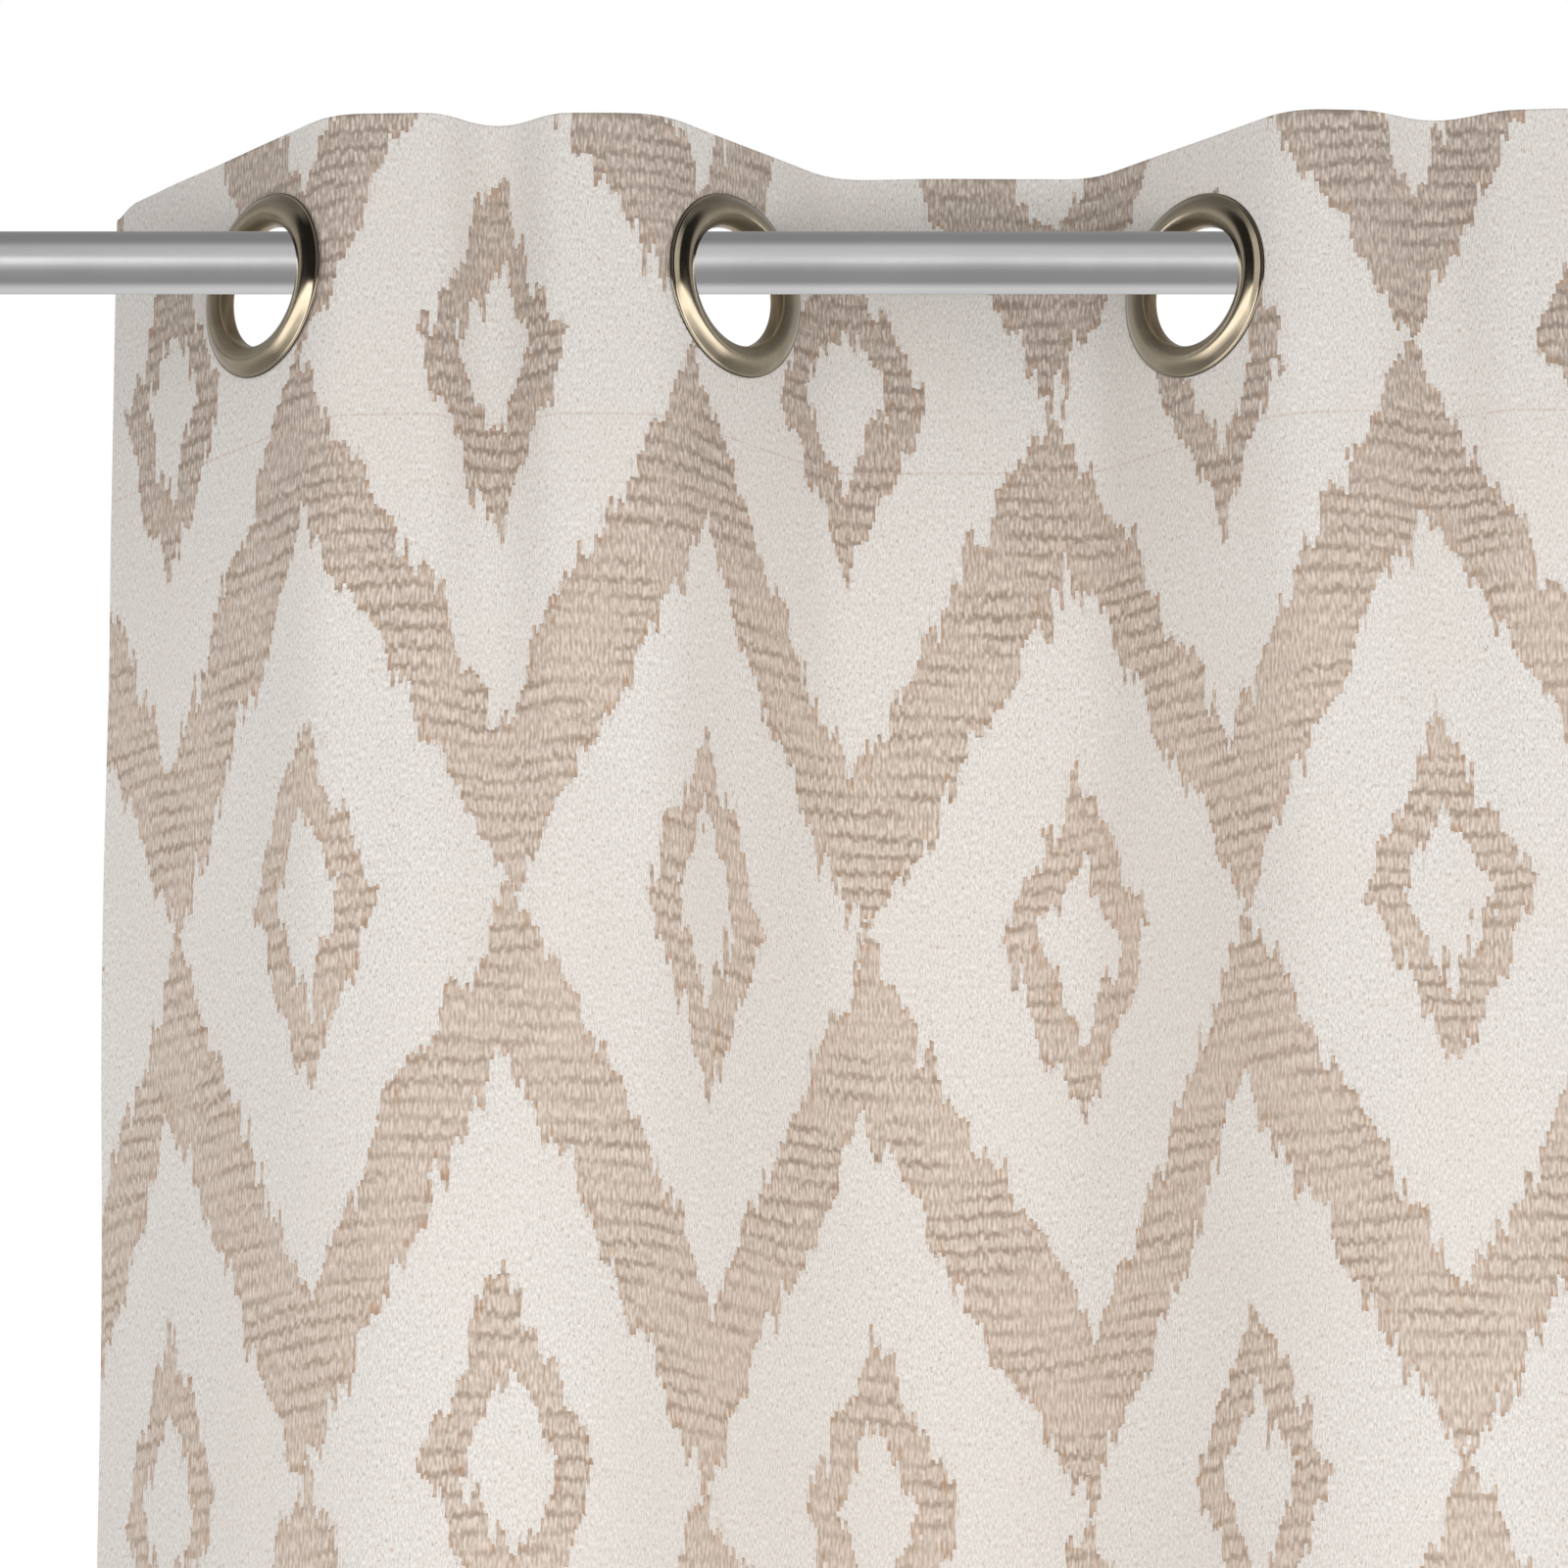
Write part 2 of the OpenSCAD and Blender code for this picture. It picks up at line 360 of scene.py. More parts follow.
def add_bump(tree, shader, height_mm, strength=1.0):
    node = tree.nodes.new("ShaderNodeBump")
    node.inputs["Distance"].default_value = MM
    node.inputs["Strength"].default_value = strength
    tree.links.new(height_mm.socket, node.inputs["Height"])
    tree.links.new(node.outputs[0], shader.inputs["Normal"])


# ---------------------------------------------------------------- materials

# The ikat figure, in millimetres of flat cloth
FIGURE_PITCH = 136.0
FIGURE_REPEAT = 360.0
FIGURE_X0 = 33.0
FIGURE_Z0 = 76.5
ROW_SHIFT = 3.5
FIGURE_SKEW = 0.026  # sideways drift of the figure per millimetre down
DIAMOND_HALF_H = 125.0
LOZENGE = (27.0, 59.0)
CORE = (15.0, 30.0)
WARP_STEP = 1.3
RIB_PITCH = 6.1


def figure(x, z):
    """The off-white part of the figure and the closeness to its outline, each from 0 to 1."""
    wander = (noise(x / 40, z / 15, seed=1) - 0.5) * 1.6
    step = (x + wander).op("SNAP", WARP_STEP)
    jag = (
        (noise(step / 12, z / 70, seed=2) - 0.5) * 16
        + (noise(step / 3.8, z / 34, seed=3) - 0.5) * 25
        + (noise(step / 1.3, z / 15, seed=4) - 0.5) * 17
    )
    drift = (noise(x / 34, z / 26, seed=5) - 0.5) * 5
    fx = step + drift - FIGURE_X0 - (z - FIGURE_Z0) * FIGURE_SKEW
    fz = z + jag - FIGURE_Z0
    half_pitch, half_repeat = FIGURE_PITCH / 2, FIGURE_REPEAT / 2
    ax, az = fx.op("PINGPONG", half_pitch), fz.op("PINGPONG", half_repeat)
    bx, bz = (fx - half_pitch - ROW_SHIFT).op("PINGPONG", half_pitch), half_repeat - az

    def lozenge(half_w, half_h):
        return (ax / half_w + az / half_h).least(bx / half_w + bz / half_h)

    diamond = lozenge(half_pitch, DIAMOND_HALF_H)
    ring, core = lozenge(*LOZENGE), lozenge(*CORE)
    white = (diamond.below(1) - ring.below(1) + core.below(1)).clip()
    near = ramp_between(abs_value(diamond - 1), 0.055, 0)
    near = near.most(ramp_between(abs_value(ring - 1), 0.12, 0))
    near = near.most(ramp_between(abs_value(core - 1), 0.24, 0))
    return white, near


STITCH_PITCH = 3.2
HALF_THREAD = 0.45


def stitch_line(x, z, line):
    """1 on the thread of a row of stitches along x at z = line."""
    along = (x / STITCH_PITCH).op("PINGPONG", 0.5) * 2
    thread = ramp_between(abs_value(z - line), HALF_THREAD, HALF_THREAD * 0.5)
    return thread * ramp_between(along, 0.12, 0.3)


def cloth_place(tree):
    """Millimetres across and down the flat cloth, from the map named Cloth."""
    uv = tree.nodes.new("ShaderNodeUVMap")
    uv.uv_map = "Cloth"
    x, z, _ = Value(tree, uv.outputs[0]).split()
    return x * 1000, z * 1000


# The cloth's colours, and the painted shade of its heading, linear
BEIGE_DARK, BEIGE_LIGHT = (0.43, 0.35, 0.29), (0.80, 0.69, 0.60)
RIB_BROWN = (0.32, 0.245, 0.185)
ROSY_TINT = (0.64, 0.52, 0.44)
HEADING_SHADE_BROWN = (0.25, 0.195, 0.155)
FRINGE_BROWN = (0.42, 0.245, 0.14)
WHITE_DARK, WHITE_LIGHT = (0.655, 0.614, 0.572), (0.835, 0.802, 0.768)
GREY_FLECK = (0.36, 0.33, 0.30)
WARM_FLECK = (0.55, 0.33, 0.19)
CREAM = (0.74, 0.67, 0.60)
STRAY_BROWN = (0.40, 0.30, 0.23)
HEADING_SHADE_GREY = (0.30, 0.28, 0.27)
SEAM_THREAD = (0.62, 0.45, 0.37)
WARP_PITCH = 1.5


def ribbed_ground(x, z, near):
    """The beige ground, upright threads crossed by wavy darker ribs: its colour, threads and ribs."""
    wobble = (noise(x / 7, z / 5, seed=6) - 0.5) * 2.2
    thread = ramp_between(noise(x / 0.85, z / 3.4, detail=1.5, seed=7), 0.30, 0.70)
    column = ((x + wobble) / WARP_PITCH).op("PINGPONG", 0.5) * 2
    weave = thread * 0.7 + column * 0.3
    warp = (x + wobble).op("SNAP", WARP_PITCH)
    wave = (noise(x / 50, z / 34, seed=8) - 0.5) * 1.3 + (noise(warp / 1.6, z / 9, seed=9) - 0.5) * 0.72
    rib = ramp_between((z / RIB_PITCH + wave).op("PINGPONG", 0.5), 0.27, 0.05)
    rib = rib * (0.25 + ramp_between(noise(x / 30, z / 20, detail=1, seed=10), 0.36, 0.60) * 0.75)
    rib = rib * (0.45 + ramp_between(noise(x / 1.3, z / 2.2, detail=1, seed=17), 0.35, 0.6) * 0.55)
    ground = mix(weave, BEIGE_DARK, BEIGE_LIGHT)
    ground = mix(rib * 0.86, ground, RIB_BROWN)
    tint = noise(x / 90, z / 120, detail=1, seed=11)
    ground = mix(ramp_between(tint, 0.35, 0.7) * 0.22, ground, ROSY_TINT)
    # Painted shade: towards the top the beige turns browner, and its ribs and dark threads stand out more
    heading = ramp_between(z, 200, 50)
    ground = mix(heading * (0.04 + (1 - weave) * 0.58 + rib * 0.45), ground, HEADING_SHADE_BROWN)
    fringe = near * ramp_between(noise(x / 0.9, z / 5, detail=1, seed=12), 0.44, 0.62)
    ground = mix(fringe * 0.7, ground, FRINGE_BROWN)
    return ground, weave, rib


def off_white(x, z, near):
    """The off-white boucle, fine upright grain with grey and warm flecks: its colour and its grain."""
    grain = noise(x / 0.55, z / 1.6, detail=2, seed=13)
    pebble = ramp_between(grain, 0.32, 0.66)
    boucle = mix(pebble, WHITE_DARK, WHITE_LIGHT)
    fleck = ramp_between(noise(x / 0.7, z / 1.9, seed=14), 0.68, 0.78)
    boucle = mix(fleck * 0.5, boucle, GREY_FLECK)
    warm_fleck = ramp_between(noise(x / 1.1, z / 1.6, seed=18), 0.73, 0.8)
    boucle = mix(warm_fleck * 0.5, boucle, WARM_FLECK)
    cream = ramp_between(noise(x / 55, z / 80, detail=1, seed=15), 0.4, 0.7)
    boucle = mix(cream * 0.22, boucle, CREAM)
    stray = near * ramp_between(noise(x / 0.8, z / 6, detail=1, seed=16), 0.55, 0.70)
    boucle = mix(stray * 0.5, boucle, STRAY_BROWN)
    return boucle, pebble


def cloth_material(name, is_face):
    """The jacquard, from its face or its back, where the two colours trade places."""
    material, shader, tree = new_material(name)
    x, z = cloth_place(tree)
    white, near = figure(x, z)
    if not is_face:
        white = 1 - white
    ground, weave, rib = ribbed_ground(x, z, near)
    boucle, pebble = off_white(x, z, near)
    colour = mix(white, ground, boucle)
    # Painted shade: both colours of the cloth greyer towards its top edge
    colour = mix(ramp_between(z, 190, 30) * 0.16, colour, HEADING_SHADE_GREY)
    height = white * (pebble * 0.13 + 0.14) + (1 - white) * (weave * 0.22 - rib * 0.26)
    if is_face:
        seam = stitch_line(x, z, TOP_HEM / MM)
        colour = mix(seam * 0.4, colour, SEAM_THREAD)
        height = height - seam * 0.12
    tree.links.new(colour.socket, shader.inputs["Base Color"])
    shader.inputs["Roughness"].default_value = 0.92
    shader.inputs["Specular IOR Level"].default_value = 0.22
    shader.inputs["Sheen Weight"].default_value = 0.12
    shader.inputs["Sheen Roughness"].default_value = 0.45
    add_bump(tree, shader, height, 0.8)
    return material


def tape_material():
    """Stiff woven heading tape."""
    material, shader, tree = new_material("heading_tape")
    x, z = cloth_place(tree)
    warp = (x / 1.1).op("PINGPONG", 0.5) * 2
    weft = (z / 0.9).op("PINGPONG", 0.5) * 2
    weave = warp * 0.5 + weft * 0.5 + (noise(x / 4, z / 4, detail=2) - 0.5) * 0.5
    colour = mix(weave.clip(), (0.70, 0.69, 0.65), (0.88, 0.87, 0.84))
    tree.links.new(colour.socket, shader.inputs["Base Color"])
    shader.inputs["Roughness"].default_value = 0.85
    add_bump(tree, shader, weave * 0.12)
    return material


def object_place(tree):
    """Millimetres along the object's own axes."""
    coordinates = tree.nodes.new("ShaderNodeTexCoord")
    return [part * 1000 for part in Value(tree, coordinates.outputs["Object"]).split()]


def brushed_material(name, colour, light_colour, roughness, along):
    """Satin metal with fine lines drawn along one axis and slight clouding."""
    material, shader, tree = new_material(name)
    x, y, z = object_place(tree)
    if along == "x":
        lines = noise(x / 60, (y + z * 1.7) / 0.22, detail=2, seed=1)
    else:
        lines = noise(x / 0.25 + y / 0.25, z / 40, detail=2, seed=1)
    cloud = noise(x / 35 + y / 50, z / 30, detail=3, seed=2)
    base = mix(ramp_between(cloud, 0.3, 0.7), colour, light_colour)
    tree.links.new(base.socket, shader.inputs["Base Color"])
    shader.inputs["Metallic"].default_value = 1
    gloss = roughness + (lines - 0.5) * 0.10 + (cloud - 0.5) * 0.08
    tree.links.new(gloss.socket, shader.inputs["Roughness"])
    add_bump(tree, shader, lines * 0.004)
    return material


def nickel_material():
    """Bronzed nickel: a satin face with faint turning lines, a glossier lip, and painted shade on the outer
    rim where it meets the cloth.
    """
    material, shader, tree = new_material("eyelet_nickel")
    uv = tree.nodes.new("ShaderNodeUVMap")
    uv.uv_map = "Turn"
    around, radius, _ = Value(tree, uv.outputs[0]).split()
    x, y, z = object_place(tree)
    cloud = noise(x / 9 + y / 7, z / 8, detail=3, seed=3)
    warm = ramp_between(radius, 23.5, 20.0)
    base = mix(ramp_between(cloud, 0.3, 0.72), (0.43, 0.36, 0.26), (0.50, 0.425, 0.315))
    base = mix(warm * 0.75, base, (0.37, 0.27, 0.155))
    # Painted shade: the outer lip, where it meets the cloth, darkened nearly to black
    rim_shade = ramp_between(radius, 29.5, 30.1)
    base = mix(rim_shade * 0.75, base, (0.10, 0.085, 0.07))
    tree.links.new(base.socket, shader.inputs["Base Color"])
    shader.inputs["Metallic"].default_value = 1
    lines = noise(around / 40, radius / 0.12, detail=1, seed=4)
    lip = ramp_between(radius, 26.0, 28.6)
    gloss = 0.21 - lip * 0.11 + (cloud - 0.5) * 0.06 + (lines - 0.5) * 0.04
    tree.links.new(gloss.socket, shader.inputs["Roughness"])
    add_bump(tree, shader, lines * 0.002)
    return material


# ---------------------------------------------------------------- the cloth's surface


def ease(t):
    """A smooth step from 0 to 1 as t goes from 0 to 1."""
    t = np.clip(t, 0, 1)
    return t * t * (3 - 2 * t)


NOISE_CELLS = 63  # each way, before the noise repeats


def value_noise(u, v, cell_u, cell_v, seed):
    """Smooth seeded noise from -1 to 1 over the flat cloth."""
    rng = np.random.default_rng(seed)
    table = rng.uniform(-1, 1, (NOISE_CELLS + 1, NOISE_CELLS + 1))
    a, b = u / cell_u + 7.3, v / cell_v + 3.1
    i, j = np.floor(a).astype(int), np.floor(b).astype(int)
    s, t = ease(a - i), ease(b - j)
    i, j = i % NOISE_CELLS, j % NOISE_CELLS
    low = table[i, j] * (1 - s) + table[i + 1, j] * s
    high = table[i, j + 1] * (1 - s) + table[i + 1, j + 1] * s
    return low * (1 - t) + high * t


def noise_down(v, column, cell, seed):
    """Smooth seeded noise from -1 to 1 down one column of the cloth, in cells this many metres long."""
    return value_noise(v * 0 + column, v, 1, cell, seed)


COLUMNS = 50  # in each strip between eyelets
FLANK_EASE = 26 * MM  # the length over which the cloth turns from a flank to a fold
SHORTEST_FLANK, LONGEST_FLANK = 10 * MM, 80 * MM
HALVINGS = 40  # of the search for the flank's length
VALLEY_HALF = 27 * MM
VALLEY = {1: 0.75, 3: 0.50, 5: 0.62, 7: 0.55}  # how far the front folds dent, in radians of turn


def ring_normal(i):
    """The direction in which eyelet i faces, from its CAD node's thinnest direction."""
    mesh = frame["nodes"][f"eyelet_front_{i}"].data
    points = np.array([v.co for v in mesh.vertices])
    points = points - points.mean(0)
    _, axes = np.linalg.eigh(points.T @ points)
    normal = axes[:, 0]
    return normal if normal[1] < 0 else -normal


RING_NORMAL = [ring_normal(i) for i in range(1, EYELETS + 1)]
# The angle between the cloth and the rod at each eyelet
RING_YAW = [math.atan2(abs(n[0]), abs(n[1])) for n in RING_NORMAL]


def stiff_headings(span, s):
    """Which way the cloth heads, seen from above, at distances s past eyelet `span`, in its stiff top.

    The flanks hold each eyelet's angle, and the fold between them is nearly flat. The flanks are
    as long as it takes to fit the spacing of the eyelets on the rod."""
    first, second = RING_YAW[span - 1], RING_YAW[span]
    chord = EYELET_X[span] - EYELET_X[span - 1]
    middle = SPACING / 2
    dent = VALLEY.get(span, 0.0) * np.sin(np.clip((s - middle) / VALLEY_HALF, -1, 1) * math.pi)

    def headings(flank):
        rise = 1 - ease((s - flank) / FLANK_EASE + 0.5)
        fall = ease((s - (SPACING - flank)) / FLANK_EASE + 0.5)
        return first * rise - second * fall + dent

    low, high = SHORTEST_FLANK, LONGEST_FLANK
    for _ in range(HALVINGS):
        flank = (low + high) / 2
        if np.mean(np.cos(headings(flank))) * SPACING > chord:
            low = flank
        else:
            high = flank
    return headings(flank)


# The soft waves below the heading: a heading angle, in radians, that goes as a cosine along the span
WAVE_TURN = 0.72
WAVE_THIRD = -0.06  # of its third overtone
SWAY, SECOND, THIRD = 0.16, 0.13, 0.07  # how much chance adds, down the cloth
SOFTEN_FROM, SOFTEN_OVER = 0.06, 0.34  # metres down, where the stiff heading gives way to the waves
SWAY_FROM, SWAY_OVER = 0.1, 0.5
FIT_ROUNDS = 8


def fit_path(heading, ds, want_x, want_y):
    """The headings, scaled and turned row by row until each row's path ends at the wanted X and Y."""
    scale, turn = np.ones(len(heading)), np.zeros(len(heading))
    for _ in range(FIT_ROUNDS):
        angle = scale[:, None] * heading + turn[:, None]
        sin, cos = np.sin(angle) * ds, np.cos(angle) * ds
        gap_x, gap_y = cos.sum(1) - want_x, sin.sum(1) - want_y
        xa, xb = -(sin * heading).sum(1), -sin.sum(1)
        ya, yb = (cos * heading).sum(1), cos.sum(1)
        det = xa * yb - xb * ya
        scale = scale - (gap_x * yb - xb * gap_y) / det
        turn = turn - (xa * gap_y - gap_x * ya) / det
    return scale[:, None] * heading + turn[:, None]


def running_sum(steps):
    """Sums along each row, starting from 0."""
    return np.hstack([np.zeros((len(steps), 1)), np.cumsum(steps, 1)])


def span_path(span, v):
    """X and Y of the columns of one span at each v: arrays of rows by columns + 1."""
    ds = SPACING / COLUMNS
    s = (np.arange(COLUMNS) + 0.5) * ds
    sign = -1 if span % 2 else 1
    rows, mid_s = v[:, None], s[None, :]
    stiff = stiff_headings(span, s)[None, :]
    phase = math.pi * mid_s / SPACING
    sway = SWAY * noise_down(rows, span, 0.42, 20 + span) * ease((rows - SWAY_FROM) / SWAY_OVER)
    second = SECOND * noise_down(rows, span, 0.6, 40 + span)
    third = THIRD * noise_down(rows, span, 0.5, 60 + span) + WAVE_THIRD
    limp = WAVE_TURN * np.cos(phase) + second * np.sin(2 * phase) + third * np.cos(3 * phase)
    limp = limp + sway * np.sin(phase)
    share = ease((rows - SOFTEN_FROM) / SOFTEN_OVER)
    heading = sign * (stiff * (1 - share) + limp * share)
    start = eyelet_drift(span, v)
    across = eyelet_drift(span + 1, v) - start
    want_x = EYELET_X[span] - EYELET_X[span - 1] + across[:, 0]
    angle = fit_path(heading, ds, want_x, across[:, 1])
    x = EYELET_X[span - 1] + start[:, :1] + running_sum(np.cos(angle) * ds)
    y = ROD_Y + start[:, 1:] + running_sum(np.sin(angle) * ds)
    return x, y


DRIFT_X, DRIFT_Y = 7 * MM, 2 * MM
DRIFT_FROM, DRIFT_OVER = 0.12, 1.2  # metres down


def eyelet_drift(i, v):
    """How far the cloth's column under eyelet i strays from the eyelet, lower down: X and Y."""
    grow = ease((v - DRIFT_FROM) / DRIFT_OVER)
    x = DRIFT_X * noise_down(v, i, 0.8, 80 + i) * grow
    y = DRIFT_Y * noise_down(v, i, 0.7, 100 + i) * grow
    return np.stack([x, y], 1)


EDGE_COLUMNS = 24
EDGE_TURN = 0.88  # the heading of the cloth beyond an outer eyelet, in radians
EDGE_TURN_BELOW = 0.10  # added to it below the heading
RING_REACH = 22 * MM  # how far the cloth keeps the eyelet's own angle
EDGE_EASE = 30 * MM


def edge_distances():
    """Distances from the eyelet out to the side edge, closer together at the rounded hem."""
    even = np.linspace(0, EDGE - 2 * MM, EDGE_COLUMNS - 2)
    return np.concatenate([even, [EDGE - 1.2 * MM, EDGE - 0.5 * MM, EDGE]])


def edge_path(is_left, v):
    """X and Y of the columns from an outer eyelet out to the side edge."""
    s = edge_distances()
    ds, mid_s = np.diff(s)[None, :], ((s[:-1] + s[1:]) / 2)[None, :]
    rows = v[:, None]
    yaw = RING_YAW[0 if is_left else -1]
    seed = 11 if is_left else 12
    below = ease((rows - SWAY_FROM) / SWAY_OVER)
    ripple = 0.06 * noise_down(rows, 0, 0.16, seed) + 0.10 * noise_down(rows, 0, 0.5, seed + 2) * below
    outer = EDGE_TURN + EDGE_TURN_BELOW * ease((rows - 0.15) / 0.25) + ripple
    heading = yaw + (outer - yaw) * ease((mid_s - RING_REACH) / EDGE_EASE)
    i = 1 if is_left else EYELETS
    start = eyelet_drift(i, v)
    way = -1 if is_left else 1
    x = EYELET_X[i - 1] + start[:, :1] + way * running_sum(np.cos(heading) * ds)
    y = ROD_Y + start[:, 1:] + running_sum(np.sin(heading) * ds)
    return x, y


CALM_RADIUS, CALM_EASE = 32 * MM, 40 * MM  # the flat cloth round an eyelet, and how it ends
# Small unevenness: its size, the cells' width and height in metres, and its seed
CRINKLES = [(1.3 * MM, 0.045, 0.12, 5), (1.6 * MM, 0.09, 0.45, 6), (0.5 * MM, 0.02, 0.05, 7)]


def cloth_surface(v):
    """The whole cloth at each v: U of the columns, and points as rows by columns by 3."""
    left_x, left_y = edge_path(True, v)
    xs, ys = [left_x[:, ::-1]], [left_y[:, ::-1]]
    us = [EDGE - edge_distances()[::-1]]
    for span in range(1, EYELETS):
        x, y = span_path(span, v)
        xs.append(x[:, 1:])
        ys.append(y[:, 1:])
        us.append(EYELET_U[span - 1] + (np.arange(COLUMNS) + 1) * SPACING / COLUMNS)
    right_x, right_y = edge_path(False, v)
    xs.append(right_x[:, 1:])
    ys.append(right_y[:, 1:])
    us.append(WIDTH - EDGE + edge_distances()[1:])
    u = np.concatenate(us)
    x, y = np.hstack(xs), np.hstack(ys)
    grid_u, grid_v = np.meshgrid(u, v)
    near_ring = np.min([np.hypot(grid_u - c, grid_v - EYELET_V) for c in EYELET_U], axis=0)
    calm = ease((near_ring - CALM_RADIUS) / CALM_EASE)
    y = y + calm * sum(
        size * value_noise(grid_u, grid_v, cell_u, cell_v, seed) for size, cell_u, cell_v, seed in CRINKLES
    )
    z = TOP_Z - grid_v
    return u, np.stack([x, y, z], 2)


def surface_normals(points):
    across = np.gradient(points, axis=1)
    down = np.gradient(points, axis=0)
    normal = np.cross(down, across)
    return normal / np.linalg.norm(normal, axis=2, keepdims=True)


FOLD_ANGLES = [math.radians(angle) for angle in np.linspace(-80, 80, 9)]  # round a hem's fold
FOLD_TURN = 1.4  # the last of them
NEAR_FOLD = 4 * MM
SEAM_ROWS = (98.6, 99.5, 100.5, 101.4, 104, 108)  # rows close together at the top hem's seam, in mm
LONG_ROWS = 300  # between the two hems


def sheet_rows():
    """The rows of the sheet from the raw edge of the top hem, over the top and down to the lower hem's.

    Each row is (v, offset of the layer towards the room, distance along the flat cloth from the top)."""
    fold, step, lower = HEADING_OFFSET, LOWER_OFFSET, DROP - BOTTOM_HEM
    rows = [(v, -fold, -v) for v in np.linspace(TOP_HEM, NEAR_FOLD, 25)]
    rows += [(fold - fold * math.cos(a), fold * math.sin(a), fold * a) for a in FOLD_ANGLES]
    rows += [(v, fold, v) for v in np.linspace(NEAR_FOLD, TOP_HEM - 4 * MM, 24)]
    rows += [(v * MM, fold, v * MM) for v in SEAM_ROWS]
    for v in np.linspace(TOP_HEM + 15 * MM, lower - 8 * MM, LONG_ROWS):
        rows.append((v, fold * (1 - ease((v - TOP_HEM - 10 * MM) / (60 * MM))), v))
    rows += [(v, step, v) for v in np.linspace(lower - 1 * MM, DROP - NEAR_FOLD, 12)]
    for a in FOLD_ANGLES[::-1]:
        rows.append((DROP - step + step * math.cos(a), step * math.sin(a), DROP - step * (a - FOLD_TURN)))
    rows += [(v, -step, 2 * DROP - v) for v in np.linspace(DROP - NEAR_FOLD, lower, 12)]
    return np.array(rows)


CORNER_DROP, CORNER_WIDTH, CORNER_HEIGHT = 3 * MM, 9 * MM, 35 * MM
HEM_THICKNESS = 0.7 * MM


class Cloth:
    """The sheet's middle layer and its normals, ready to be cut into strips."""

    def __init__(self, rows, half):
        self.v, self.offset, self.along = np.round(rows.T, 7)
        self.half = half
        plain_v, index = np.unique(self.v, return_inverse=True)
        self.u, plain = cloth_surface(plain_v)
        self.layer = plain[index] + surface_normals(plain)[index] * self.offset[:, None, None]
        self.normal = surface_normals(self.layer) if len(set(self.offset)) > 1 else surface_normals(plain)
        self.round_corners()

    def from_side(self):
        """Each column's distance from the nearer side edge."""
        return np.minimum(self.u, WIDTH - self.u)[None, :]

    def round_corners(self):
        """The folded corners at the ends of the heading are a little lower and softer."""
        beside = 1 - ease(self.from_side() / CORNER_WIDTH)
        self.layer[:, :, 2] -= CORNER_DROP * beside * (1 - ease(self.v[:, None] / CORNER_HEIGHT))

    def hem_push(self):
        """How much the side hems, folded to the back, thicken the cloth, by column."""
        hem = 1 - ease((self.from_side() - SIDE_HEM + 1 * MM) / (2 * MM))
        return hem * HEM_THICKNESS


TINY = 1e-6


def strip_columns(cloth, first, last):
    """Indices of the columns from U = first to U = last."""
    return np.where((cloth.u > first - TINY) & (cloth.u < last + TINY))[0]


HOLE_MARGIN = 0.6 * MM  # faces whose middle is this near to a hole's edge, or inside it, are cut away


def cut_holes(u, along, layer):
    """Opens the eyelets' holes in one strip of cloth, in both layers of the top hem.

    Vertices just inside a hole move out to its edge, along the cloth. Gives back the moved layer,
    the flat place of every vertex, and which faces are kept."""
    rows, cols = layer.shape[:2]
    tangent_u = np.gradient(layer, axis=1) / np.gradient(u)[None, :, None]
    tangent_v = np.gradient(layer, axis=0) / np.gradient(along)[:, None, None]
    flat_u = np.broadcast_to(u[None, :], (rows, cols)).copy()
    flat_v = np.broadcast_to(along[:, None], (rows, cols)).copy()
    mid_u = (flat_u[:-1, :-1] + flat_u[1:, 1:]) / 2
    mid_v = (flat_v[:-1, :-1] + flat_v[1:, 1:]) / 2
    kept = np.ones((rows - 1, cols - 1), bool)
    in_strip = [c for c in EYELET_U if u[0] - TINY <= c <= u[-1] + TINY]
    for centre_u, centre_v in [(c, v) for c in in_strip for v in (EYELET_V, -EYELET_V)]:
        kept &= np.hypot(mid_u - centre_u, mid_v - centre_v) > HOLE_R + HOLE_MARGIN
        du, dv = flat_u - centre_u, flat_v - centre_v
        radius = np.maximum(np.hypot(du, dv), 1e-9)
        push = np.where(radius < HOLE_R, HOLE_R / radius - 1, 0)
        push = np.where(radius < 0.5 * HOLE_R, 0, push)
        layer = layer + tangent_u * (du * push)[:, :, None] + tangent_v * (dv * push)[:, :, None]
        flat_u, flat_v = flat_u + du * push, flat_v + dv * push
    return layer, flat_u, flat_v, kept


